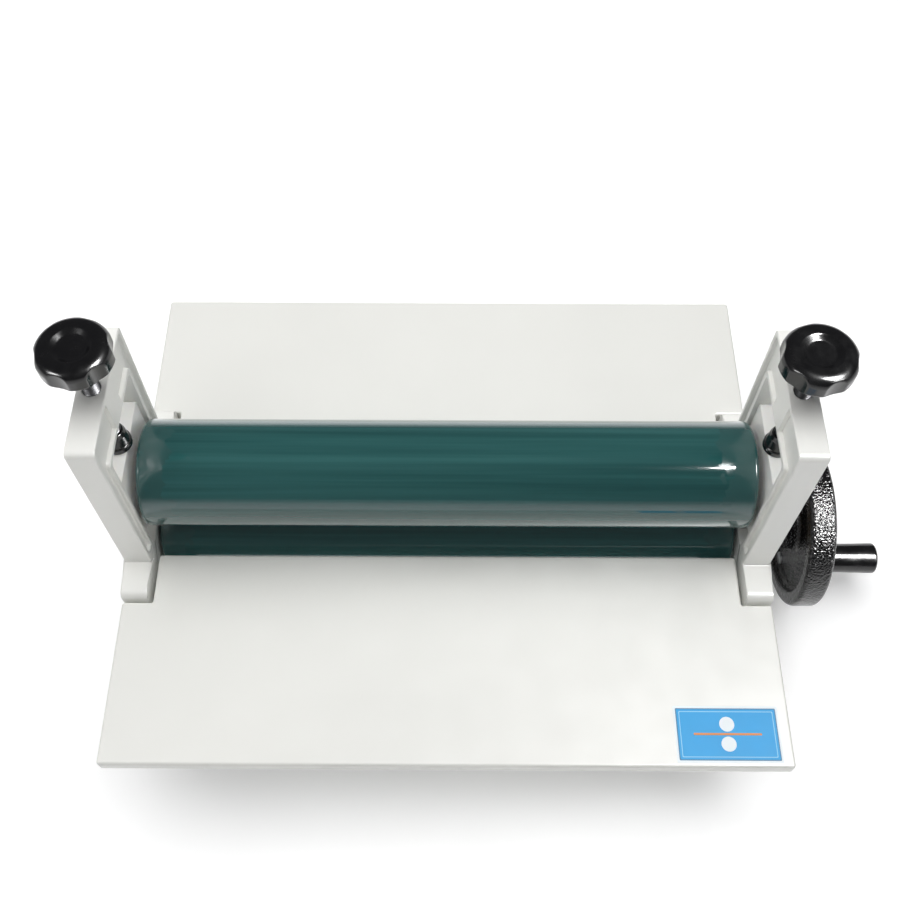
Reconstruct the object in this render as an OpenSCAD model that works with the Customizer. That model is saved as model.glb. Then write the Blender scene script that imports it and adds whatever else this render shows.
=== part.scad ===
/* [Tables] */
// Overall width of the two tables
table_w = 386; // [384:1:392]
// Reach of each table from the roller axis
table_reach = 160; // [150:1:175]
// Height of the table tops above the bench
table_top = 86; // [86:0.5:88]
// Height of the folded lip round each table
lip_h = 9.5; // [8:0.5:10]
// Sheet thickness of the tables
sheet_t = 2; // [1.5:0.5:2]
// Outside radius of the folded edges
bend_r = 2.5; // [2.5:0.5:3.5]

/* [Side frames] */
// Clear width between the two side frames
frame_gap = 354; // [354:1:356]
// Thickness of a side frame
frame_t = 16; // [15:1:16]
// Half width of a column, front to back
column_half = 41; // [40:1:44]
// Distance from a frame's middle to its front end at the table tops
foot_half = 63; // [62:1:66]
// Distance from a frame's middle to its rear end at the table tops
foot_rear = 68; // [63:1:70]
// Half width of the spread base below the tables
base_half = 88; // [84:1:100]
// Height of a side frame's top
frame_top = 219; // [219:1:226]
// Half width of the window that guides a bearing block
window_half = 29; // [29:0.5:30]
// Height of the underside of the crossbar over the window
window_roof = 190; // [190:0.5:196]

/* [Rollers] */
// Diameter over the rubber
roller_d = 63; // [62:0.5:63]
// Length of the rubber face
roller_len = 351; // [340:1:351]
// Diameter of the steel under the rubber
core_d = 52; // [46:1:54]
// Diameter of the journals
journal_d = 20; // [18:1:20]
// Height of the lower roller's axis
lower_axis = 66; // [65.5:0.1:66.5]
// Space between the rollers when closed
nip_gap = 0.4; // [0.4:0.1:0.8]

/* [Pressure screws] */
// Diameter of a pressure screw
screw_d = 10; // [10:1:12]
// Diameter of a knob
knob_d = 39.5; // [38:0.5:44]
// Height of a knob's body
knob_h = 13; // [12:1:20]
// Distance from a frame's top up to the right knob's body
knob_gap = 23; // [20:1:26]
// How much higher the left knob is set on its screw
left_knob_rise = 2.5; // [0:0.5:6]
// Number of finger scallops round a knob
scallops = 6; // [6:1:8]
// Depth of a finger scallop
scallop_h = 1.4; // [1:0.1:2]

/* [Handwheel] */
// Diameter of the handwheel
wheel_d = 104; // [96:1:106]
// Width of the handwheel's rim
rim_w = 16; // [14:1:18]
// Distance from the middle of the machine to the rim's inner side
rim_in = 215; // [213:1:218]
// Distance from the wheel's axis to the crank grip's axis
crank_r = 38; // [34:0.5:40]
// Angle of the crank grip behind straight down, front side positive
crank_angle = 10; // [0:1:90]
// Diameter of the crank grip
grip_d = 20; // [18:1:22]
// Length of the crank grip
grip_len = 49; // [40:1:55]

/* [Hidden] */
$fn = 64;
eps = 0.01;
frame_in = frame_gap / 2;
frame_out = frame_in + frame_t;
frame_mid = (frame_in + frame_out) / 2;
upper_axis = lower_axis + roller_d + nip_gap;
foot_top = table_top + 6.5;
foot_h = 8;
frame_bottom = foot_h;
window_floor = foot_top - 0.5;
journal_run = 0.05;
slide_run = 0.3;

// Tables
notch_half = frame_in - 2.3;
notch_run = 1;
table_throat = 33;

// Side frame details
frame_r = 4;
plan_r = 1;
rim_strip = 3;
recess = 2.6;
boss_d = 14;
boss_drop = 3;
bush_d = 28;
pad_in = frame_in - 7;
pad_out = frame_out + 5;
pad_len = 28;

// Table brackets
bracket_t = 3;
bracket_face = frame_in - 5.6;
bracket_w = 22;
bracket_h = 34;
bracket_start = 42;
bracket_end = 150;
bracket_bolts = [48, 60];
bracket_bolt_z = table_top - 24;
stud_x = bracket_face - 11.5;
stud_y = [90, 135];
stud_d = 6;

// Tie bars
tie_d = 16;
tie_y = 58;
tie_z = 34;
tie_screw_d = 8;

// Rollers and bearings
shoulder_d = 26;
core_end = roller_len / 2 - 1;
clip_t = 1.2;
clip_d = 26;
clip_bore = journal_d - 1.4;
lower_clip = frame_out + 3.3;
upper_clip = frame_out + 3.7;
journal_end = frame_out + 6.5;

// Bearing blocks
block_in = frame_in + 2.5;
block_out = frame_out + 3.4;
block_low = window_floor + 11;
block_top = block_low + 60;
block_flange = 3.5;
peg_d = 7;

// Pressure screws
pad_d = 17;
pad_h = 4;
collar_h = 10;
tip_d = 6;
tip_start = block_top + pad_h + collar_h + 0.3;
hub_d = 15;
hub_h = 4;
knob_grip = 11;
scallop_d = 60;
dish_d = 21;
dish_h = 2;
right_knob_turn = -73;
left_knob_turn = -45;

// Lift springs
spring_r = 5.7;
wire_d = 1.6;
spring_turns = 4;
ring_sides = 6;
steps_per_turn = 16;

// Handwheel
rim_t = 10;
rim_out = rim_in + rim_w;
hub_in = frame_out + 5;
wheel_hub_d = 30;
web_in = rim_in + 5;
web_t = 6;
crank_y = -crank_r * sin(crank_angle);
crank_z = lower_axis - crank_r * cos(crank_angle);
spindle_d = 10;
spindle_thread_d = 8;
grip_start = rim_out + 1.5;
grip_end = grip_start + grip_len;
set_screw_x = frame_out + 11;

// Feet
rubber_d = 24;
foot_y = base_half - 14;

// Label
label_w = 59;
label_h = 32;
label_t = 0.25;
label_x = 127.7;

// ---- Shared shapes ----

module round_rect(a0, a1, b0, b1, r) {
    translate([a0 + r, b0]) square([a1 - a0 - 2 * r, b1 - b0]);
    translate([a0, b0 + r]) square([a1 - a0, b1 - b0 - 2 * r]);
    for (a = [a0 + r, a1 - r], b = [b0 + r, b1 - r])
        translate([a, b]) circle(r);
}

module round_top(a0, a1, b0, b1, r) {
    translate([a0, b0]) square([a1 - a0, b1 - b0 - r]);
    translate([a0 + r, b0]) square([a1 - a0 - 2 * r, b1 - b0]);
    for (a = [a0 + r, a1 - r])
        translate([a, b1 - r]) circle(r);
}

// Prism along X of an outline drawn in Y and Z
module along_x(x0, x1) {
    translate([x0, 0, 0]) rotate([90, 0, 90]) linear_extrude(x1 - x0) children();
}

// Prism along Y of an outline drawn in X and Z
module along_y(y0, y1) {
    translate([0, y1, 0]) rotate([90, 0, 0]) linear_extrude(y1 - y0) children();
}

module rod_x(x0, x1, d, y, z) {
    translate([x0, y, z]) rotate([0, 90, 0]) cylinder(h = x1 - x0, d = d);
}

module rod_z(z0, z1, d, x, y) {
    translate([x, y, z0]) cylinder(h = z1 - z0, d = d);
}

module on_side(side) {
    if (side < 0) mirror([1, 0, 0]) children();
    else children();
}

module on_end(end) {
    if (end > 0) mirror([0, 1, 0]) children();
    else children();
}

// Socket head screw with its shank along -Z and its head above z = 0
module socket_screw(d, len, head_d, head_h) {
    difference() {
        union() {
            translate([0, 0, -len]) cylinder(h = len + eps, d = d);
            cylinder(h = head_h, d = head_d);
        }
        translate([0, 0, head_h / 2]) cylinder(h = head_h, d = d * 0.85, $fn = 6);
    }
}

// ---- Side frames ----

module leg_outline() {
    difference() {
        union() {
            round_rect(-foot_half, foot_rear, table_top - 30, foot_top, 5);
            polygon([
                [-foot_half, table_top - 15], [foot_rear, table_top - 15],
                [base_half, frame_bottom + 12], [base_half, frame_bottom],
                [-base_half, frame_bottom], [-base_half, frame_bottom + 12]
            ]);
        }
        round_rect(-44, 44, -10, 36, 10);
    }
}

module frame_recess() {
    difference() {
        round_rect(-column_half + rim_strip, column_half - rim_strip,
            foot_top + 6, frame_top - rim_strip, 3);
        round_rect(-window_half - rim_strip, window_half + rim_strip,
            foot_top - 20, window_roof + rim_strip, 3);
        translate([-boss_d / 2 - 1.5, window_roof]) square([boss_d + 3, frame_top - window_roof]);
    }
}

module side_frame(side) {
    color("whitesmoke") on_side(side) difference() {
        union() {
            difference() {
                union() {
                    intersection() {
                        along_x(frame_in, frame_out)
                            round_rect(-column_half, column_half, table_top - 20, frame_top, frame_r);
                        linear_extrude(frame_top + 1)
                            round_rect(frame_in, frame_out, -column_half, column_half, plan_r);
                    }
                    along_x(frame_in, frame_out) leg_outline();
                    for (y = [-base_half, base_half - pad_len])
                        translate([pad_in, y, frame_bottom])
                            cube([pad_out - pad_in, pad_len, 7]);
                    for (y = bracket_bolts, end = [-1, 1])
                        rod_x(bracket_face, frame_in + eps, 11, end * y, bracket_bolt_z);
                }
                along_x(frame_in - 1, frame_out + 1)
                    round_rect(-window_half, window_half, window_floor, window_roof, 3);
                along_x(frame_in - 1, frame_in + recess) frame_recess();
            }
            rod_z(window_roof - boss_drop, window_roof + 1, boss_d, frame_mid, 0);
        }
        rod_z(window_roof - boss_drop - 1, frame_top + 1, screw_d + 2 * journal_run, frame_mid, 0);
        rod_x(frame_in - 1, frame_out + 1, bush_d, 0, lower_axis);
        for (y = bracket_bolts, end = [-1, 1])
            rod_x(bracket_face - 1, frame_in + 12, 6, end * y, bracket_bolt_z);
        for (y = [-tie_y, tie_y])
            rod_x(frame_in - 1, frame_out + 1, tie_screw_d + 0.4, y, tie_z);
        for (y = [-foot_y, foot_y])
            rod_z(frame_bottom - 1, frame_bottom + 10, 5, frame_mid, y);
    }
}

// ---- Tables, brackets and tie bars ----

module tray_block(half, y0, y1, inset) {
    radius = bend_r - inset + 0.5 * (inset / sheet_t);
    low = table_top - lip_h - 2 * inset;
    intersection() {
        along_y(y0 + inset, y1 - inset)
            round_top(-half + inset, half - inset, low, table_top - inset, radius);
        along_x(-half + inset, half - inset)
            round_top(y0 + inset, y1 - inset, low, table_top - inset, radius);
    }
}

module tray(foot, inset) {
    tray_block(table_w / 2, -table_reach, -foot - notch_run, inset);
    tray_block(notch_half, -table_reach, -table_throat, inset);
}

module table(end) {
    foot = end < 0 ? foot_half : foot_rear;
    color("whitesmoke") on_end(end) difference() {
        tray(foot, 0);
        tray(foot, sheet_t);
    }
}

module bracket(side, end) {
    color("silver") on_side(side) on_end(end) difference() {
        union() {
            translate([bracket_face - bracket_w, -bracket_end, table_top - sheet_t - bracket_t])
                cube([bracket_w, bracket_end - bracket_start, bracket_t]);
            translate([bracket_face - bracket_t, -bracket_end, table_top - sheet_t - 12])
                cube([bracket_t, bracket_end - bracket_start, 12]);
            translate([bracket_face - bracket_t, -foot_half - 1, table_top - sheet_t - bracket_h])
                cube([bracket_t, foot_half + 1 - bracket_start, bracket_h]);
        }
        for (y = stud_y)
            rod_z(table_top - 20, table_top, stud_d + 0.4, stud_x, -y);
        for (y = bracket_bolts)
            rod_x(bracket_face - 5, bracket_face + 1, 6.4, -y, bracket_bolt_z);
    }
}

module bracket_screws() {
    color("dimgray") for (side = [-1, 1], end = [-1, 1], y = bracket_bolts)
        on_side(side) translate([bracket_face - bracket_t, end * y, bracket_bolt_z])
            rotate([0, -90, 0]) socket_screw(6, 18, 10, 6);
}

module table_studs() {
    color("silver") for (side = [-1, 1], end = [-1, 1], y = stud_y)
        on_side(side) rod_z(table_top - 14, table_top - sheet_t, stud_d, stud_x, end * y);
}

module table_nuts() {
    color("silver") for (side = [-1, 1], end = [-1, 1], y = stud_y)
        on_side(side) translate([stud_x, end * y, table_top - sheet_t - bracket_t - 5])
            difference() {
                cylinder(h = 5, d = 11, $fn = 6);
                translate([0, 0, -1]) cylinder(h = 7, d = stud_d);
            }
}

module tie_bar(end) {
    color("silver") difference() {
        rod_x(-frame_in, frame_in, tie_d, end * tie_y, tie_z);
        for (side = [-1, 1])
            on_side(side) rod_x(frame_in - 15, frame_in + 1, tie_screw_d, end * tie_y, tie_z);
    }
}

module tie_bar_screws() {
    color("dimgray") for (side = [-1, 1], y = [-tie_y, tie_y])
        on_side(side) translate([frame_out, y, tie_z])
            rotate([0, 90, 0]) socket_screw(tie_screw_d, frame_t + 14, 13, 5);
}

// ---- Rollers and bearings ----

module roller_core(z, shoulder_end, clip_x, left_end, right_end) {
    color("silver") difference() {
        union() {
            rod_x(-core_end, core_end, core_d, 0, z);
            rod_x(-shoulder_end, shoulder_end, shoulder_d, 0, z);
            rod_x(-left_end, right_end, journal_d, 0, z);
        }
        for (side = [-1, 1]) on_side(side) difference() {
            rod_x(clip_x - 0.05, clip_x + clip_t + 0.05, clip_d, 0, z);
            rod_x(clip_x - 1, clip_x + clip_t + 1, clip_bore, 0, z);
        }
    }
}

module lower_roller_core() {
    roller_core(lower_axis, frame_in - 0.3, lower_clip, journal_end, rim_out - 3);
}

module upper_roller_core() {
    roller_core(upper_axis, block_in - 0.3, upper_clip, journal_end, journal_end);
}

module roller_rubber(z) {
    color("darkslategray") difference() {
        rod_x(-roller_len / 2, roller_len / 2, roller_d, 0, z);
        rod_x(-roller_len, roller_len, core_d, 0, z);
    }
}

module lower_bush(side) {
    color("darkgoldenrod") on_side(side) difference() {
        union() {
            rod_x(frame_in, frame_out + 3, bush_d, 0, lower_axis);
            rod_x(frame_out, frame_out + 3, bush_d + 6, 0, lower_axis);
        }
        rod_x(frame_in - 1, frame_out + 4, journal_d + 2 * journal_run, 0, lower_axis);
    }
}

module upper_bush(side) {
    color("darkgoldenrod") on_side(side) difference() {
        rod_x(block_in, block_out, bush_d, 0, upper_axis);
        rod_x(block_in - 1, block_out + 1, journal_d + 2 * journal_run, 0, upper_axis);
    }
}

module roller_clips(z, clip_x) {
    color("dimgray") for (side = [-1, 1]) on_side(side) difference() {
        rod_x(clip_x, clip_x + clip_t, clip_d, 0, z);
        rod_x(clip_x - 1, clip_x + clip_t + 1, clip_bore, 0, z);
        translate([clip_x - 1, -3, z]) cube([clip_t + 2, 6, clip_d]);
    }
}

module bearing_block(side) {
    color("white") on_side(side) difference() {
        union() {
            along_x(block_in, block_out)
                round_rect(-window_half + slide_run, window_half - slide_run, block_low, block_top, 2.5);
            along_x(frame_out + slide_run, block_out)
                round_rect(-window_half - block_flange, window_half + block_flange,
                    block_low, block_top, 2.5);
            rod_z(block_low - 6, block_low + 1, peg_d, frame_mid, 0);
        }
        rod_x(block_in - 1, block_out + 1, bush_d, 0, upper_axis);
    }
}

// ---- Pressure screws and lift springs ----

module pressure_pad(side) {
    color("black") on_side(side) difference() {
        union() {
            rod_z(block_top, block_top + pad_h, pad_d - 1, frame_mid, 0);
            translate([frame_mid, 0, block_top + pad_h])
                cylinder(h = collar_h, d1 = 14.5, d2 = 11.5);
        }
        rod_z(block_top + 2.5, tip_start, tip_d + 2 * journal_run, frame_mid, 0);
    }
}

module pressure_screw(side, rise) {
    color("dimgray") on_side(side) {
        rod_z(block_top + 3, tip_start + 1, tip_d, frame_mid, 0);
        rod_z(tip_start, frame_top + knob_gap - hub_h + knob_grip + rise, screw_d, frame_mid, 0);
    }
}

module knob(side, rise, turn) {
    base = frame_top + knob_gap + rise;
    dish_r = (pow(dish_d / 2, 2) + pow(dish_h, 2)) / (2 * dish_h);
    color("black") translate([side * frame_mid, 0, base]) rotate([0, 0, turn]) difference() {
        union() {
            rotate_extrude() intersection() {
                round_rect(-knob_d / 2, knob_d / 2, 0, knob_h, 5);
                square([knob_d, knob_h]);
            }
            translate([0, 0, -hub_h]) cylinder(h = hub_h + 1, d = hub_d);
        }
        for (i = [0 : scallops - 1])
            rotate([0, 0, i * 360 / scallops])
                translate([knob_d / 2 - scallop_h + scallop_d / 2, 0, -1])
                    cylinder(h = knob_h + 2, d = scallop_d);
        translate([0, 0, knob_h - dish_h + dish_r]) sphere(dish_r);
        translate([0, 0, -hub_h - 1]) cylinder(h = knob_grip + 1, d = screw_d);
    }
}

// Rings of points round a wire that climbs as a helix from z0 to z1
function wire_ring(angle, z) = [
    for (k = [0 : ring_sides - 1])
        let (around = k * 360 / ring_sides, r = spring_r + wire_d / 2 * cos(around))
        [r * cos(angle), r * sin(angle), z + wire_d / 2 * sin(around)]
];

function tube_faces(rings) = concat(
    [[for (k = [0 : ring_sides - 1]) k]],
    [for (i = [0 : rings - 2], k = [0 : ring_sides - 1])
        let (a = i * ring_sides, n = (k + 1) % ring_sides)
        [a + k, a + ring_sides + k, a + ring_sides + n, a + n]],
    [[for (k = [ring_sides - 1 : -1 : 0]) (rings - 1) * ring_sides + k]]
);

module lift_spring(side) {
    steps = spring_turns * steps_per_turn;
    z0 = window_floor + wire_d / 2 + 0.1;
    z1 = block_low - wire_d / 2 - 0.1;
    points = [for (i = [0 : steps])
        each wire_ring(i * 360 / steps_per_turn, z0 + (z1 - z0) * i / steps)];
    color("lightgray") on_side(side) translate([frame_mid, 0, 0])
        polyhedron(points, tube_faces(steps + 1), convexity = 6);
}

// ---- Handwheel and crank ----

module handwheel() {
    color([0.12, 0.12, 0.12]) difference() {
        union() {
            difference() {
                rod_x(rim_in, rim_out, wheel_d, 0, lower_axis);
                rod_x(rim_in - 1, rim_out + 1, wheel_d - 2 * rim_t, 0, lower_axis);
            }
            rod_x(web_in, web_in + web_t, wheel_d - rim_t, 0, lower_axis);
            rod_x(hub_in, rim_out - 2, wheel_hub_d, 0, lower_axis);
            rod_x(web_in - 2, rim_out - 1, 18, crank_y, crank_z);
        }
        rod_x(hub_in - 1, rim_out - 3, journal_d, 0, lower_axis);
        rod_x(web_in - 3, rim_out, spindle_thread_d, crank_y, crank_z);
        rod_z(lower_axis, lower_axis + wheel_hub_d, 6, set_screw_x, 0);
    }
}

module handwheel_set_screw() {
    low = lower_axis + journal_d / 2;
    color("dimgray") difference() {
        rod_z(low, low + 5, 6, set_screw_x, 0);
        translate([set_screw_x, 0, low + 2.5]) cylinder(h = 5, d = 3.4, $fn = 6);
    }
}

module handle_spindle() {
    color("silver") {
        rod_x(web_in - 1, rim_out, spindle_thread_d, crank_y, crank_z);
        rod_x(rim_out - 1, grip_end - 2.7, spindle_d, crank_y, crank_z);
        rod_x(grip_end - 3, grip_end - 0.5, spindle_d + 4, crank_y, crank_z);
    }
}

module handle_grip() {
    color("black") translate([0, crank_y, crank_z]) rotate([0, 90, 0]) difference() {
        rotate_extrude() translate([0, grip_start]) intersection() {
            round_rect(-grip_d / 2, grip_d / 2, 0, grip_len, 1.5);
            square([grip_d, grip_len]);
        }
        translate([0, 0, grip_start - 1]) cylinder(h = grip_len + 2, d = spindle_d + 2 * journal_run);
        translate([0, 0, grip_end - 3.3]) cylinder(h = 5, d = spindle_d + 4.6);
    }
}

// ---- Feet and label ----

module rubber_foot(side, end) {
    color([0.1, 0.1, 0.1]) translate([side * frame_mid, end * foot_y, 0]) difference() {
        cylinder(h = foot_h, d1 = rubber_d - 4, d2 = rubber_d);
        translate([0, 0, -1]) cylinder(h = 5, d = 11);
        cylinder(h = foot_h + 1, d = 5);
    }
}

module foot_screws() {
    color("dimgray") for (side = [-1, 1], end = [-1, 1])
        translate([side * frame_mid, end * foot_y, 4]) mirror([0, 0, 1])
            socket_screw(5, 13, 9, 2.5);
}

module table_label() {
    color("lightsteelblue") translate([0, -table_reach + bend_r, table_top])
        linear_extrude(label_t) round_rect(label_x, label_x + label_w, 0, label_h, 1.5);
}

side_frame(-1);  // left_side_frame
side_frame(1);  // right_side_frame
table(-1);  // front_table
table(1);  // rear_table
bracket(-1, -1);  // left_front_bracket
bracket(1, -1);  // right_front_bracket
bracket(-1, 1);  // left_rear_bracket
bracket(1, 1);  // right_rear_bracket
bracket_screws();
table_studs();
table_nuts();
tie_bar(-1);  // front_tie_bar
tie_bar(1);  // rear_tie_bar
tie_bar_screws();
lower_roller_core();
roller_rubber(lower_axis);  // lower_roller_rubber
upper_roller_core();
roller_rubber(upper_axis);  // upper_roller_rubber
lower_bush(-1);  // lower_left_bush
lower_bush(1);  // lower_right_bush
upper_bush(-1);  // upper_left_bush
upper_bush(1);  // upper_right_bush
roller_clips(lower_axis, lower_clip);  // lower_roller_clips
roller_clips(upper_axis, upper_clip);  // upper_roller_clips
bearing_block(-1);  // left_bearing_block
bearing_block(1);  // right_bearing_block
pressure_pad(-1);  // left_pressure_pad
pressure_pad(1);  // right_pressure_pad
pressure_screw(-1, left_knob_rise);  // left_pressure_screw
pressure_screw(1, 0);  // right_pressure_screw
knob(-1, left_knob_rise, left_knob_turn);  // left_knob
knob(1, 0, right_knob_turn);  // right_knob
lift_spring(-1);  // left_lift_spring
lift_spring(1);  // right_lift_spring
handwheel();
handwheel_set_screw();
handle_spindle();
handle_grip();
rubber_foot(-1, -1);  // front_left_foot
rubber_foot(1, -1);  // front_right_foot
rubber_foot(-1, 1);  // rear_left_foot
rubber_foot(1, 1);  // rear_right_foot
foot_screws();
table_label();
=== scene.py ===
from math import acos, atan2, cos, floor, pi, radians, sin, sqrt, tan, tau

import bpy
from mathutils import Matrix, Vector


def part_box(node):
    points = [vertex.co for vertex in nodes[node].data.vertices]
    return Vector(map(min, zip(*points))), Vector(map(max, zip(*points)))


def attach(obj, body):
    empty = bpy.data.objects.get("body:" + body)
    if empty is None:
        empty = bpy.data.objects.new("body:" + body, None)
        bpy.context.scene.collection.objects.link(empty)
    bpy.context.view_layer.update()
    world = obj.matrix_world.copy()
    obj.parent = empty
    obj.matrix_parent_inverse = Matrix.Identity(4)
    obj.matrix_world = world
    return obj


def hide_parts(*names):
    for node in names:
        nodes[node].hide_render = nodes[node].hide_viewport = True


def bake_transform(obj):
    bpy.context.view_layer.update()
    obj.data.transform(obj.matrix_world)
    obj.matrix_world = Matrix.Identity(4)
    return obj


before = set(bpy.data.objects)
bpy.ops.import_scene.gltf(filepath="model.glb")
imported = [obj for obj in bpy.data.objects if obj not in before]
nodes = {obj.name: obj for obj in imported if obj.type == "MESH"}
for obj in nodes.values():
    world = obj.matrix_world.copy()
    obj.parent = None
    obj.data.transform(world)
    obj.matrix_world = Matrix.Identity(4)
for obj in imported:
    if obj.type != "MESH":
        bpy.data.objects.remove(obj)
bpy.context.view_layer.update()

MM = 0.001
WELD_DISTANCE = 0.01 * MM
NORMAL_WEIGHT = 90

# Places read from the frame
roller_low, roller_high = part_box("upper_roller_rubber")
lower_low, lower_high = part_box("lower_roller_rubber")
column_x = (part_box("right_pressure_screw")[0].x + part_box("right_pressure_screw")[1].x) / 2
table_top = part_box("front_table")[1].z
upper_axis = (roller_low.z + roller_high.z) / 2
lower_axis = (lower_low.z + lower_high.z) / 2


# ---- Mesh helpers ----

def fillet(corners, closed, steps=6):
    """Points of an outline whose corners (a, b, radius) are rounded by arcs."""
    points = []
    count = len(corners)
    for i, (a, b, radius) in enumerate(corners):
        here = Vector((a, b))
        inner = closed or 0 < i < count - 1
        if radius <= 0 or not inner:
            points.append(here)
            continue
        before = (Vector(corners[i - 1][:2]) - here).normalized()
        after = (Vector(corners[(i + 1) % count][:2]) - here).normalized()
        half = acos(max(-1, min(1, before.dot(after)))) / 2
        centre = here + (before + after).normalized() * (radius / sin(half))
        first = here + before * (radius / tan(half)) - centre
        last = here + after * (radius / tan(half)) - centre
        start = atan2(first.y, first.x)
        sweep = (atan2(last.y, last.x) - start + pi) % tau - pi
        for k in range(steps + 1):
            angle = start + sweep * k / steps
            points.append(centre + Vector((cos(angle), sin(angle))) * radius)
    return points


def mesh_piece(name, verts, faces, material, body, smooth=True):
    mesh = bpy.data.meshes.new(name)
    mesh.from_pydata(verts, [], faces)
    mesh.validate()
    mesh.polygons.foreach_set("use_smooth", [smooth] * len(mesh.polygons))
    mesh.materials.append(material)
    piece = bpy.data.objects.new(name, mesh)
    bpy.context.scene.collection.objects.link(piece)
    if body:
        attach(piece, body)
    return piece


def weighted_normals(piece):
    modifier = piece.modifiers.new("weighted_normals", "WEIGHTED_NORMAL")
    modifier.keep_sharp = True
    modifier.weight = NORMAL_WEIGHT


def grid_faces(rows, columns, wrap_rows):
    """Faces of a grid that wraps across its columns, and across its rows if asked."""
    faces = []
    for i in range(rows if wrap_rows else rows - 1):
        j = (i + 1) % rows
        for k in range(columns):
            n = (k + 1) % columns
            faces.append((i * columns + k, i * columns + n, j * columns + n, j * columns + k))
    return faces


def tube_faces(rows, columns):
    """Faces of a tube of rings, with its first and last rings filled in."""
    faces = grid_faces(rows, columns, False)
    faces.append(tuple(range(columns - 1, -1, -1)))
    faces.append(tuple(range((rows - 1) * columns, rows * columns)))
    return faces


def lathe_mesh(outline, axis, centre, closed, segments, shape=None):
    """Vertices and faces of an outline of (along, radius) points turned about an axis."""
    verts = []
    for along, radius in outline:
        for k in range(segments):
            angle = k * tau / segments
            r = shape(angle, along, radius) if shape else radius
            across, up = r * cos(angle), r * sin(angle)
            if axis == "X":
                verts.append((centre[0] + along, centre[1] + across, centre[2] + up))
            else:
                verts.append((centre[0] + across, centre[1] + up, centre[2] + along))
    rows = len(outline)
    faces = grid_faces(rows, segments, True) if closed else tube_faces(rows, segments)
    if axis == "Z":
        faces = [tuple(reversed(face)) for face in faces]
    return verts, faces


def lathe(name, corners, material, body, axis, centre,
          closed=False, segments=96, shape=None, steps=6):
    """A turned piece. Its outline is given as (along, radius, corner radius)."""
    outline = fillet(corners, closed, steps)
    verts, faces = lathe_mesh(outline, axis, centre, closed, segments, shape)
    piece = mesh_piece(name, verts, faces, material, body)
    weighted_normals(piece)
    return piece


def smoothstep(value):
    t = max(0.0, min(1.0, value))
    return t * t * (3 - 2 * t)


# ---- Materials ----

# Sockets of a Mix node that share their names: its two colours, and its two numbers
COLOR_A, COLOR_B, COLOR_RESULT = 6, 7, 2
FLOAT_A, FLOAT_B, FLOAT_RESULT = 2, 3, 0

# Where a noise starts and ends its useful spread
NOISE_LOW, NOISE_HIGH = 0.3, 0.7


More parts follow.
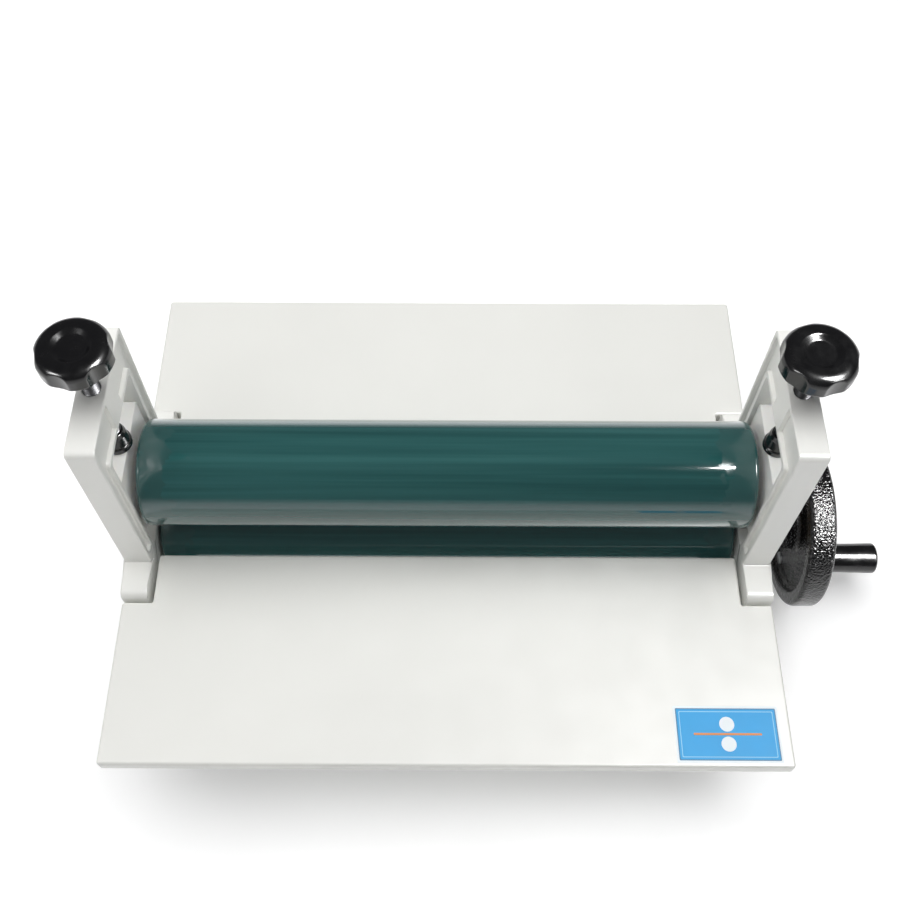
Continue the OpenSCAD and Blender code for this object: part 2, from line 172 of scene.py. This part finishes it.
class Finish:
    """A Principled material with short ways to add its procedural parts."""

    def __init__(self, name, color, roughness, metallic=0.0, **sockets):
        self.material = bpy.data.materials.new(name)
        self.material.use_nodes = True
        self.tree = self.material.node_tree
        self.shader = self.tree.nodes["Principled BSDF"]
        self.color = color
        self.set("Base Color", (*color, 1))
        self.set("Roughness", roughness)
        self.set("Metallic", metallic)
        for socket, value in sockets.items():
            self.set(socket.replace("_", " "), value)
        self.coords = self.tree.nodes.new("ShaderNodeTexCoord").outputs["Object"]
        self.height = None

    def set(self, socket, value):
        self.shader.inputs[socket].default_value = value

    def stretched(self, scale):
        mapping = self.tree.nodes.new("ShaderNodeMapping")
        mapping.inputs["Scale"].default_value = scale
        self.tree.links.new(self.coords, mapping.inputs["Vector"])
        return mapping.outputs["Vector"]

    def noise(self, scale, detail=4.0, rough=0.5, vector=None):
        texture = self.tree.nodes.new("ShaderNodeTexNoise")
        texture.inputs["Scale"].default_value = scale
        texture.inputs["Detail"].default_value = detail
        texture.inputs["Roughness"].default_value = rough
        self.tree.links.new(vector or self.coords, texture.inputs["Vector"])
        return texture.outputs["Fac"]

    def spread(self, source, low, high, start=NOISE_LOW, end=NOISE_HIGH):
        remap = self.tree.nodes.new("ShaderNodeMapRange")
        remap.inputs["From Min"].default_value = start
        remap.inputs["From Max"].default_value = end
        remap.inputs["To Min"].default_value = low
        remap.inputs["To Max"].default_value = high
        self.tree.links.new(source, remap.inputs["Value"])
        return remap.outputs["Result"]

    def vary_roughness(self, source, low, high):
        self.tree.links.new(self.spread(source, low, high), self.shader.inputs["Roughness"])

    def vary_color(self, source, dark, light=None):
        ramp = self.tree.nodes.new("ShaderNodeValToRGB")
        ramp.color_ramp.elements[0].position = NOISE_LOW
        ramp.color_ramp.elements[1].position = NOISE_HIGH
        ramp.color_ramp.elements[0].color = (*dark, 1)
        ramp.color_ramp.elements[1].color = (*(light or self.color), 1)
        self.tree.links.new(source, ramp.inputs["Fac"])
        self.tree.links.new(ramp.outputs["Color"], self.shader.inputs["Base Color"])

    def ends(self, start, ragged):
        """A mask that is 1 beyond a distance from the middle along X, with a ragged edge."""
        parts = self.tree.nodes.new("ShaderNodeSeparateXYZ")
        self.tree.links.new(self.coords, parts.inputs["Vector"])
        away = self.math("ABSOLUTE", parts.outputs["X"])
        shift = self.spread(self.noise(85, 2, 0.6), -ragged, ragged)
        return self.spread(self.math("ADD", away, shift), 0, 1, start, start + MM)

    def math(self, operation, *values):
        node = self.tree.nodes.new("ShaderNodeMath")
        node.operation = operation
        for socket, value in zip(node.inputs, values):
            self.tree.links.new(value, socket)
        return node.outputs["Value"]

    def blend_color(self, source, dark, mask, other):
        self.vary_color(source, dark)
        mix = self.tree.nodes.new("ShaderNodeMix")
        mix.data_type = "RGBA"
        base = self.shader.inputs["Base Color"].links[0].from_socket
        self.tree.links.new(mask, mix.inputs["Factor"])
        self.tree.links.new(base, mix.inputs[COLOR_A])
        mix.inputs[COLOR_B].default_value = (*other, 1)
        self.tree.links.new(mix.outputs[COLOR_RESULT], self.shader.inputs["Base Color"])

    def blend_roughness(self, source, low, high, mask, other):
        near = self.spread(source, low, high)
        mix = self.tree.nodes.new("ShaderNodeMix")
        self.tree.links.new(mask, mix.inputs["Factor"])
        self.tree.links.new(near, mix.inputs[FLOAT_A])
        mix.inputs[FLOAT_B].default_value = other
        self.tree.links.new(mix.outputs[FLOAT_RESULT], self.shader.inputs["Roughness"])

    def bump(self, source, distance, strength=1.0):
        node = self.tree.nodes.new("ShaderNodeBump")
        node.inputs["Strength"].default_value = strength
        node.inputs["Distance"].default_value = distance
        self.tree.links.new(source, node.inputs["Height"])
        if self.height:
            self.tree.links.new(self.height, node.inputs["Normal"])
        self.height = node.outputs["Normal"]
        self.tree.links.new(self.height, self.shader.inputs["Normal"])


def powder_coat(name, color, cast):
    """Satin powder paint, over a lumpier surface if the metal under it is cast."""
    finish = Finish(name, color, 0.38, Coat_Weight=0.12, Coat_Roughness=0.25)
    finish.vary_color(finish.noise(7, 3), tuple(0.96 * c for c in color))
    finish.vary_roughness(finish.noise(60, 5), 0.32, 0.46)
    finish.bump(finish.noise(900, 2), 0.00003, 0.5)
    if cast:
        finish.bump(finish.noise(170, 3), 0.00010, 0.5)
    return finish.material


def roller_rubber():
    """Polished green rubber with faint streaks along it and a duller, paler film at each end."""
    finish = Finish("roller_rubber", (0.026, 0.112, 0.109), 0.08, Coat_Weight=1.0, Coat_Roughness=0.03)
    along = finish.stretched((0.02, 1.0, 1.0))
    streaks = finish.noise(170, 3, vector=along)
    film_width, ragged = 19 * MM, 7 * MM
    film = finish.ends(roller_high.x - film_width, ragged)
    finish.blend_color(streaks, (0.009, 0.064, 0.063), film, (0.022, 0.086, 0.084))
    finish.blend_roughness(finish.noise(420, 3, vector=along), 0.03, 0.08, film, 0.20)
    finish.bump(finish.noise(60, 3, vector=along), 0.00008, 0.3)
    finish.bump(finish.noise(38, 2), 0.00010, 0.2)
    return finish.material


def black_plastic():
    finish = Finish("black_plastic", (0.0035, 0.0035, 0.004), 0.18, Coat_Weight=0.25, Coat_Roughness=0.06)
    finish.vary_color(finish.noise(90, 4), (0.0025, 0.0025, 0.003))
    finish.vary_roughness(finish.noise(140, 5), 0.14, 0.30)
    finish.bump(finish.noise(1300, 2), 0.00001, 0.5)
    return finish.material


def hammertone():
    """Glossy black paint that dries in round dimples about a millimetre across."""
    finish = Finish("hammertone", (0.003, 0.003, 0.004), 0.12, Specular_IOR_Level=0.6)
    dimples = finish.noise(820, 1, 0.4)
    finish.vary_color(dimples, (0.002, 0.002, 0.002), (0.006, 0.006, 0.007))
    finish.vary_roughness(finish.noise(500, 3), 0.08, 0.15)
    finish.bump(dimples, 0.0008, 1.0)
    return finish.material


def bare_metal(name, color, low, high, stretch=(1, 1, 1)):
    """A metal whose grain can be stretched to run round a turned part."""
    finish = Finish(name, color, low, metallic=1.0)
    grain = finish.stretched(stretch)
    finish.vary_color(finish.noise(180, 4), tuple(0.82 * c for c in color))
    finish.vary_roughness(finish.noise(1200, 4, vector=grain), low, high)
    finish.bump(finish.noise(2200, 2, vector=grain), 0.00001, 0.5)
    return finish.material


def nylon():
    finish = Finish("white_nylon", (0.95, 0.95, 0.92), 0.36, Subsurface_Weight=0.12)
    finish.set("Subsurface Radius", (0.004, 0.003, 0.002))
    finish.vary_color(finish.noise(30, 3), (0.92, 0.915, 0.88))
    finish.vary_roughness(finish.noise(200, 4), 0.30, 0.46)
    finish.bump(finish.noise(1100, 3), 0.00003, 0.5)
    return finish.material


def foot_rubber():
    finish = Finish("foot_rubber", (0.022, 0.022, 0.023), 0.7)
    finish.vary_color(finish.noise(120, 4), (0.014, 0.014, 0.014))
    finish.vary_roughness(finish.noise(300, 4), 0.6, 0.85)
    finish.bump(finish.noise(1400, 3), 0.00006, 0.7)
    return finish.material


def print_film(name, color):
    finish = Finish(name, color, 0.5, Specular_IOR_Level=0.1)
    finish.vary_color(finish.noise(60, 3), tuple(0.95 * c for c in color))
    finish.vary_roughness(finish.noise(250, 4), 0.44, 0.56)
    finish.bump(finish.noise(700, 2), 0.00002, 0.4)
    return finish.material


TABLE_PAINT = powder_coat("table_paint", (0.81, 0.81, 0.77), cast=False)
CAST_PAINT = powder_coat("cast_paint", (0.90, 0.90, 0.86), cast=True)
RUBBER = roller_rubber()
PLASTIC = black_plastic()
HAMMERTONE = hammertone()
SHAFT_STEEL = bare_metal("shaft_steel", (0.56, 0.57, 0.58), 0.18, 0.36, (1, 0.05, 0.05))
ZINC_STEEL = bare_metal("zinc_steel", (0.60, 0.62, 0.63), 0.26, 0.46)
BLACK_STEEL = bare_metal("black_steel", (0.085, 0.085, 0.088), 0.28, 0.48)
BRONZE = bare_metal("bronze", (0.55, 0.38, 0.18), 0.28, 0.48)
SPRING_STEEL = bare_metal("spring_steel", (0.45, 0.46, 0.47), 0.22, 0.38)
NYLON = nylon()
FOOT_RUBBER = foot_rubber()


# ---- CAD nodes that keep their shape ----

def finish_node(name, material, bevel=0.0):
    """Gives a CAD node its material, and softens its sharp edges if asked."""
    node = nodes[name]
    node.data.materials.clear()
    node.data.materials.append(material)
    weld = node.modifiers.new("weld", "WELD")
    weld.merge_threshold = WELD_DISTANCE
    if bevel:
        soften = node.modifiers.new("soft_edges", "BEVEL")
        soften.width = bevel
        soften.segments = 3
        soften.limit_method = "ANGLE"
        soften.angle_limit = radians(40)
        soften.use_clamp_overlap = False
    weighted_normals(node)
    node.data.polygons.foreach_set("use_smooth", [True] * len(node.data.polygons))


CAST_EDGE = 0.7 * MM
BLOCK_EDGE = 0.6 * MM


def finish_cad_nodes():
    for side in ("left", "right"):
        finish_node(f"{side}_side_frame", CAST_PAINT, CAST_EDGE)
        finish_node(f"{side}_bearing_block", NYLON, BLOCK_EDGE)
        finish_node(f"lower_{side}_bush", BRONZE)
        finish_node(f"upper_{side}_bush", BRONZE)
        for end in ("front", "rear"):
            finish_node(f"{side}_{end}_bracket", ZINC_STEEL)
            finish_node(f"{end}_{side}_foot", FOOT_RUBBER)
    for name in ("lower_roller_core", "upper_roller_core"):
        finish_node(name, SHAFT_STEEL)
    for name in ("front_tie_bar", "rear_tie_bar", "table_studs", "table_nuts", "handle_spindle"):
        finish_node(name, ZINC_STEEL)
    for name in ("bracket_screws", "tie_bar_screws", "foot_screws", "handwheel_set_screw",
                 "lower_roller_clips", "upper_roller_clips"):
        finish_node(name, BLACK_STEEL)


# ---- Folded sheet tables ----

BEND = 1.8 * MM
SHEET = 2 * MM
LIP_CORNER = 5 * MM
BEND_STEPS = 6
PLAN_CORNER = 1.9 * MM
NOTCH_CORNER = 1.2 * MM
NOTCH_X = 174.7 * MM
FRONT_NOTCH_Y = 64 * MM
REAR_NOTCH_Y = 69 * MM


def lip_lift(point, corners):
    """How far the lip's lower edge rises near an outer corner, where it is cut round."""
    nearest = min(max(abs(point.x - c.x), abs(point.y - c.y)) for c in corners)
    short = max(0.0, LIP_CORNER - nearest)
    return LIP_CORNER - sqrt(max(0.0, LIP_CORNER ** 2 - short ** 2))


def table_piece(name, node):
    """A folded table: rings follow its outline from the flat top, round the bend, down the lip."""
    low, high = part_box(node)
    toward = 1 if high.y < 0 else -1
    outer_y, throat_y = (low.y, high.y) if toward > 0 else (high.y, low.y)
    notch_y = -FRONT_NOTCH_Y if toward > 0 else REAR_NOTCH_Y
    wide = high.x
    plan, notch = PLAN_CORNER, NOTCH_CORNER
    corners = [(-wide, outer_y, plan), (wide, outer_y, plan), (wide, notch_y, plan),
               (NOTCH_X, notch_y, notch), (NOTCH_X, throat_y, plan), (-NOTCH_X, throat_y, plan),
               (-NOTCH_X, notch_y, notch), (-wide, notch_y, plan)]
    outline = fillet(corners if toward > 0 else corners[::-1], closed=True)
    cut = [Vector((sign * wide, outer_y)) for sign in (-1, 1)]
    count = len(outline)
    quarter = [k * pi / (2 * BEND_STEPS) for k in range(BEND_STEPS + 1)]
    rings = [(BEND * (1 - sin(angle)), BEND * (1 - cos(angle))) for angle in quarter]
    verts = []
    for inset, drop in rings + [(0, None)]:
        for i, point in enumerate(outline):
            along = (outline[(i + 1) % count] - outline[i - 1]).normalized()
            spot = point + Vector((-along.y, along.x)) * inset
            z = low.z + lip_lift(point, cut) if drop is None else high.z - drop
            verts.append((spot.x, spot.y, z))
    faces = [tuple(reversed(face)) for face in grid_faces(len(rings) + 1, count, False)]
    faces.append(tuple(range(count)))
    piece = mesh_piece(name, verts, faces, TABLE_PAINT, "root")
    thickness = piece.modifiers.new("sheet", "SOLIDIFY")
    thickness.thickness = SHEET
    thickness.offset = -1
    weighted_normals(piece)
    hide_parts(node)


# ---- Rollers ----

COVER_EDGE = 2.6 * MM
BORE_EDGE = 0.4 * MM


def roller_cover(name, node, body, axis_z):
    """A rubber cover, round its core, with rounded shoulders."""
    low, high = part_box(node)
    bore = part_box(node.replace("rubber", "core"))
    core = (bore[1].z - bore[0].z) / 2
    radius = (high.z - low.z) / 2
    corners = [(low.x, core, BORE_EDGE), (low.x, radius, COVER_EDGE), (high.x, radius, COVER_EDGE),
               (high.x, core, BORE_EDGE)]
    piece = lathe(name, corners, RUBBER, body, "X", (0, 0, axis_z),
                  closed=True, segments=192)
    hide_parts(node)


# ---- Pressure screws, pads, knobs and springs ----

PITCH = 1.5 * MM
THREAD_DEPTH = 0.9 * MM
THREAD_TAPER = 1.2 * MM
SCREW_GAP = 0.3 * MM


def thread_height(turns):
    """Height of a slightly flattened V thread, from 0 at the root to 1 at the crest."""
    wave = abs(2 * (turns - floor(turns)) - 1)
    return smoothstep((wave - 0.08) / 0.84)


def pressure_screw(side, x):
    node = f"{side}_pressure_screw"
    low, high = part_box(node)
    crest = (high.x - low.x) / 2
    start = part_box(f"{side}_pressure_pad")[1].z + SCREW_GAP
    rows_per_turn, segments = 8, 48
    rows = int((high.z - start) / PITCH * rows_per_turn)
    verts = []
    for i in range(rows + 1):
        z = start + (high.z - start) * i / rows
        taper = smoothstep((z - start) / THREAD_TAPER)
        for k in range(segments):
            depth = THREAD_DEPTH * (1 - taper * thread_height(z / PITCH - k / segments))
            angle = k * tau / segments
            verts.append((x + (crest - depth) * cos(angle), (crest - depth) * sin(angle), z))
    faces = tube_faces(rows + 1, segments)
    piece = mesh_piece(f"{side}_threaded_screw", verts, faces, BLACK_STEEL, f"{side}_screw")
    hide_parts(node)


PAD_FLANGE = 4 * MM
PAD_SHOULDER = 7.2 * MM
PAD_NECK = 6.6 * MM
PAD_TOP = 5.6 * MM
PAD_CUP = 3.2 * MM
PAD_CUP_DEPTH = 2 * MM


def pressure_pad(side, x):
    """A flanged pad that narrows upwards to a small cup under the screw."""
    node = f"{side}_pressure_pad"
    low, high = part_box(node)
    radius = (high.x - low.x) / 2
    height = high.z - low.z
    neck_height = height * 0.8
    corners = [(0, 0, 0), (0, radius, 0.5 * MM), (PAD_FLANGE, radius, 1.3 * MM),
               (PAD_FLANGE + 0.4 * MM, PAD_SHOULDER, 0.8 * MM), (neck_height, PAD_NECK, 2 * MM),
               (height, PAD_TOP, 0.8 * MM), (height, PAD_CUP, 0.3 * MM),
               (height - PAD_CUP_DEPTH, PAD_CUP - 0.1 * MM, 0)]
    piece = lathe(f"{side}_pad", corners, PLASTIC, "upper_carriage", "Z",
                  (x, 0, low.z), segments=72)
    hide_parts(node)


KNOB_RADIUS = 19.75 * MM
SCALLOPS = 6
SCALLOP_DEPTH = 1.8 * MM
SCALLOP_RADIUS = 16 * MM
SCALLOP_TURN = {"left": radians(-45), "right": radians(-73)}
SCALLOP_BLEND = 0.35 * MM
KNOB_HUB = 7.5 * MM
KNOB_HUB_HEIGHT = 4 * MM
KNOB_SEAT_RING = 5.3 * MM
KNOB_DISH = 10.8 * MM
KNOB_DISH_DEPTH = 2.0 * MM
KNOB_DISH_SLOPE = 3.2 * MM


def soft_min(a, b, blend):
    """The smaller of two lengths, with a round corner where they meet."""
    mix = max(0.0, min(1.0, 0.5 + 0.5 * (b - a) / blend))
    return b + (a - b) * mix - blend * mix * (1 - mix)


def scalloped(turn):
    """A knob's outline in plan: each finger scallop is cut by a large round cutter."""
    middle = KNOB_RADIUS - SCALLOP_DEPTH + SCALLOP_RADIUS

    def limit(angle, along, radius):
        step = tau / SCALLOPS
        off = (angle - turn + step / 2) % step - step / 2
        miss = abs(middle * sin(off))
        if miss >= SCALLOP_RADIUS:
            return radius
        wall = middle * cos(off) - sqrt(SCALLOP_RADIUS ** 2 - miss ** 2)
        return soft_min(radius, wall, SCALLOP_BLEND) if radius > wall - MM else radius
    return limit


def knob(side, x):
    """A scalloped knob on a short hub, with a round top edge and a dished middle."""
    node = f"{side}_knob"
    low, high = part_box(node)
    top = high.z - low.z
    dish_floor = top - KNOB_DISH_DEPTH
    corners = [(0, 0, 0), (0, KNOB_SEAT_RING, 0.3 * MM), (0, KNOB_HUB, 1 * MM),
               (KNOB_HUB_HEIGHT, KNOB_HUB + 0.4 * MM, 1 * MM), (KNOB_HUB_HEIGHT, KNOB_RADIUS, 2.0 * MM),
               (top, KNOB_RADIUS, 6 * MM), (top, KNOB_DISH, 1.8 * MM),
               (dish_floor, KNOB_DISH - KNOB_DISH_SLOPE, 2.2 * MM), (dish_floor, 0, 0)]
    piece = lathe(f"{side}_scalloped_knob", corners, PLASTIC, f"{side}_screw", "Z",
                  (x, 0, low.z), segments=240, shape=scalloped(SCALLOP_TURN[side]), steps=16)
    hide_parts(node)


WIRE = 0.8 * MM
SPRING_TURNS = 4


def lift_spring(side, x):
    """A coil of round wire. It runs between the frame and the block."""
    node = f"{side}_lift_spring"
    low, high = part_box(node)
    coil = (high.x - low.x) / 2 - WIRE
    per_turn, sides = 48, 12
    bottom, top = low.z + WIRE, high.z - WIRE
    steps = SPRING_TURNS * per_turn
    verts = []
    for i in range(steps + 1):
        t = i / steps
        angle = SPRING_TURNS * tau * t
        z = bottom + (top - bottom) * t
        for k in range(sides):
            around = k * tau / sides
            r = coil + WIRE * cos(around)
            verts.append((x + r * cos(angle), r * sin(angle), z + WIRE * sin(around)))
    faces = tube_faces(steps + 1, sides)
    piece = mesh_piece(f"{side}_coil_spring", verts, faces, SPRING_STEEL, None)
    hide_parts(node)
    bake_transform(piece)


# ---- Handwheel and crank grip ----

RIM_WIDTH = 16 * MM
RIM_DEPTH = 10 * MM
WEB_INNER, WEB_OUTER = 5 * MM, 11 * MM
WHEEL_BORE, WHEEL_HUB = 10 * MM, 15 * MM
HUB_INSET = 2 * MM
BOSS_BORE, BOSS_FOOT, BOSS_TOP = 4 * MM, 9.6 * MM, 9 * MM
GRIP_BORE = 5.1 * MM
GRIP_CUP, GRIP_CUP_DEPTH = 7.4 * MM, 3.3 * MM

grip_low, grip_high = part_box("handle_grip")
crank_y, crank_z = (grip_low.y + grip_high.y) / 2, (grip_low.z + grip_high.z) / 2


def handwheel():
    """A wheel with a thick rim and a thinner web, and the boss that holds the crank spindle."""
    low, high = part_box("handwheel")
    radius = (high.z - low.z) / 2
    rim_in, rim_out = high.x - RIM_WIDTH, high.x
    rim_inner = radius - RIM_DEPTH
    web_in, web_out = rim_in + WEB_INNER, rim_in + WEB_OUTER
    bore, hub = WHEEL_BORE, WHEEL_HUB
    corners = [(low.x, bore, 0.4 * MM), (low.x, hub, 1.2 * MM), (web_in, hub + MM, 3 * MM),
               (web_in, rim_inner, 3 * MM), (rim_in, rim_inner + MM, 2 * MM), (rim_in, radius, 3 * MM),
               (rim_out, radius, 3 * MM), (rim_out, rim_inner + MM, 2 * MM), (web_out, rim_inner, 3 * MM),
               (web_out, hub + MM, 3 * MM), (rim_out - HUB_INSET, hub, 1.2 * MM),
               (rim_out - HUB_INSET, bore, 0.4 * MM)]
    wheel = lathe("hammertone_wheel", corners, HAMMERTONE, "lower_roller", "X",
                  (0, 0, lower_axis), closed=True, segments=192)
    foot, top = web_out - 2 * MM, rim_out - 1 * MM
    boss = [(foot, BOSS_BORE, 0), (foot, BOSS_FOOT, 0), (top, BOSS_TOP, 1.2 * MM), (top, BOSS_BORE, 0)]
    lathe("spindle_boss", boss, HAMMERTONE, "lower_roller", "X", (0, crank_y, crank_z),
          closed=True, segments=64)
    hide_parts("handwheel")


def crank_grip():
    """A sleeve with a slight waist, counterbored at its outer end."""
    length = grip_high.x - grip_low.x
    grip = (grip_high.z - grip_low.z) / 2
    cup_floor = length - GRIP_CUP_DEPTH
    corners = [(0, GRIP_BORE, 0.2 * MM), (0, grip - 0.4 * MM, 1.6 * MM), (length * 0.55, grip - 0.5 * MM, 0),
               (length, grip, 1.8 * MM), (length, GRIP_CUP, 0.5 * MM), (cup_floor, GRIP_CUP - 0.1 * MM, 0),
               (cup_floor, GRIP_BORE, 0)]
    piece = lathe("crank_grip_sleeve", corners, PLASTIC, "crank_grip", "X",
                  (grip_low.x, crank_y, crank_z), closed=True, segments=96)
    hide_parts("handle_grip")


# ---- Label ----

FILM = 0.06 * MM
LAYER_STEP = 0.05 * MM
SIGN_HEIGHT = 0.3 * MM
DISC_RADIUS = 4.2 * MM
DISC_OFFSET = 5.6 * MM
LINE_LENGTH, LINE_WIDTH = 38 * MM, 1.2 * MM


def outline_panel(name, outline, z, color):
    """A thin film with a given outline, lying flat."""
    count = len(outline)
    verts = [(p.x, p.y, z) for p in outline] + [(p.x, p.y, z + FILM) for p in outline]
    faces = [tuple(range(count - 1, -1, -1)), tuple(range(count, 2 * count))]
    faces += [(i, (i + 1) % count, count + (i + 1) % count, count + i) for i in range(count)]
    return mesh_piece(name, verts, faces, color, "root", smooth=False)


def flat_panel(name, x0, x1, y0, y1, z, corner, color):
    """A thin rectangular film with rounded corners."""
    outline = fillet([(x0, y0, corner), (x1, y0, corner), (x1, y1, corner), (x0, y1, corner)], True)
    return outline_panel(name, outline, z, color)


def table_label():
    """A plain blue plate with line borders and a sign for two rollers and a sheet."""
    low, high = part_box("table_label")
    white = print_film("label_white", (0.86, 0.92, 0.95))
    edge_blue = print_film("label_edge_blue", (0.10, 0.26, 0.42))
    pale_blue = print_film("label_pale_blue", (0.32, 0.66, 0.90))
    blue = print_film("label_blue", (0.055, 0.40, 0.80))
    orange = print_film("label_orange", (0.80, 0.30, 0.10))
    layers = [("backing", 0, white), ("edge_line", 1.3, edge_blue), ("field_rim", 1.9, blue),
              ("pale_line", 3.0, pale_blue), ("field", 3.5, blue)]
    for level, (name, inset, color) in enumerate(layers):
        gap = inset * MM
        piece = flat_panel(f"label_{name}", low.x + gap, high.x - gap, low.y + gap, high.y - gap,
                           low.z + level * LAYER_STEP, 0.6 * MM, color)
        if name == "backing":
            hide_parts("table_label")
    sign_z = low.z + SIGN_HEIGHT
    middle = Vector(((low.x + high.x) / 2, (low.y + high.y) / 2))
    turns = [k * tau / 48 for k in range(48)]
    for name, offset in (("upper", DISC_OFFSET), ("lower", -DISC_OFFSET)):
        outline = [middle + Vector((DISC_RADIUS * cos(turn), offset + DISC_RADIUS * sin(turn)))
                   for turn in turns]
        outline_panel(f"label_{name}_disc", outline, sign_z, white)
    flat_panel("label_sheet_line", middle.x - LINE_LENGTH / 2, middle.x + LINE_LENGTH / 2,
               middle.y - LINE_WIDTH / 2, middle.y + LINE_WIDTH / 2, sign_z, 0.3 * MM, orange)


# ---- Stage, lights and camera ----

def soft_light(name, place, target, size, power, mirrored=False, shape="RECTANGLE"):
    """A softbox that lights the scene, or a mirrored one that only shows as a reflection."""
    light = bpy.data.lights.new(name, "AREA")
    light.shape = shape
    light.size, light.size_y = size
    light.energy = power
    lamp = bpy.data.objects.new(name, light)
    lamp.location = place
    lamp.visible_glossy = mirrored
    lamp.visible_diffuse = not mirrored
    aim = Vector(target) - Vector(place)
    lamp.rotation_euler = aim.to_track_quat("-Z", "Y").to_euler()
    bpy.context.scene.collection.objects.link(lamp)


FLOOR_HALF = 14.0
FLOOR_GLOW = 0.20


def studio():
    """A white floor under soft light, with small bright lamps where the gloss catches them."""
    finish = Finish("floor", (0.97, 0.97, 0.97), 0.6)
    finish.vary_roughness(finish.noise(20, 2), 0.55, 0.65)
    finish.set("Emission Color", (1, 1, 1, 1))
    finish.set("Emission Strength", FLOOR_GLOW)
    half = FLOOR_HALF
    mesh = bpy.data.meshes.new("floor")
    mesh.from_pydata([(-half, -half, 0), (half, -half, 0), (half, half, 0), (-half, half, 0)], [],
                     [(0, 1, 2, 3)])
    mesh.materials.append(finish.material)
    ground = bpy.data.objects.new("floor", mesh)
    bpy.context.scene.collection.objects.link(ground)

    studio_sky()
    middle = (0, 0, upper_axis)
    soft_light("overhead", (-0.15, 0.25, 1.8), middle, (2.6, 2.0), 44)
    soft_light("left_front", (-1.3, -0.9, 1.5), middle, (0.9, 0.7), 0.5)
    soft_light("roller_glint", (0.475, -0.25, 1.10), (0.475, 0, 0.13), (0.105, 0.22), 5.0, True, "ELLIPSE")
    soft_light("right_glint", (0.62, -0.22, 1.06), (0.22, 0, 0.08), (0.34, 0.40), 38.0, True)
    for name, side in (("left_side", -1), ("right_side", 1)):
        soft_light(name, (0.95 * side, -0.58, 0.88), (0.185 * side, 0, 0.25), (0.40, 0.32), 8.0, True)
    bpy.context.scene.view_settings.view_transform = "Standard"


HORIZON = (0.55, 0.55, 0.55, 1)
SKY = (0.11, 0.11, 0.115, 1)
SKY_START = 0.04


def studio_sky():
    """Pale at the horizon and dim above it, so that glossy pieces keep their colour."""
    world = bpy.data.worlds.new("studio")
    world.use_nodes = True
    tree = world.node_tree
    background = tree.nodes["Background"]
    direction = tree.nodes.new("ShaderNodeTexCoord").outputs["Generated"]
    parts = tree.nodes.new("ShaderNodeSeparateXYZ")
    ramp = tree.nodes.new("ShaderNodeValToRGB")
    ramp.color_ramp.elements[0].position = 0.0
    ramp.color_ramp.elements[0].color = HORIZON
    ramp.color_ramp.elements[1].position = SKY_START
    ramp.color_ramp.elements[1].color = SKY
    tree.links.new(direction, parts.inputs["Vector"])
    tree.links.new(parts.outputs["Z"], ramp.inputs["Fac"])
    tree.links.new(ramp.outputs["Color"], background.inputs["Color"])
    background.inputs["Strength"].default_value = 1.0
    bpy.context.scene.world = world


CAMERA_SIDE = 0.0032
CAMERA_FRONT = 0.322
CAMERA_ABOVE_TABLE = 0.6218
CAMERA_DOWN = 59.7
CAMERA_TURN = 0.3


def camera():
    """Looks down on the front table from above the infeed side."""
    data = bpy.data.cameras.new("camera")
    data.lens = 45.0
    data.sensor_width = 36
    eye = bpy.data.objects.new("camera", data)
    eye.location = (CAMERA_SIDE, -CAMERA_FRONT, table_top + CAMERA_ABOVE_TABLE)
    eye.rotation_euler = (radians(90 - CAMERA_DOWN), 0, radians(CAMERA_TURN))
    bpy.context.scene.collection.objects.link(eye)
    bpy.context.scene.camera = eye


camera()
studio()
finish_cad_nodes()
table_piece("front_folded_table", "front_table")
table_piece("rear_folded_table", "rear_table")
roller_cover("upper_roller_cover", "upper_roller_rubber", "upper_roller", upper_axis)
roller_cover("lower_roller_cover", "lower_roller_rubber", "lower_roller", lower_axis)
for side, x in (("left", -column_x), ("right", column_x)):
    pressure_screw(side, x)
    pressure_pad(side, x)
    knob(side, x)
    lift_spring(side, x)
handwheel()
crank_grip()
table_label()
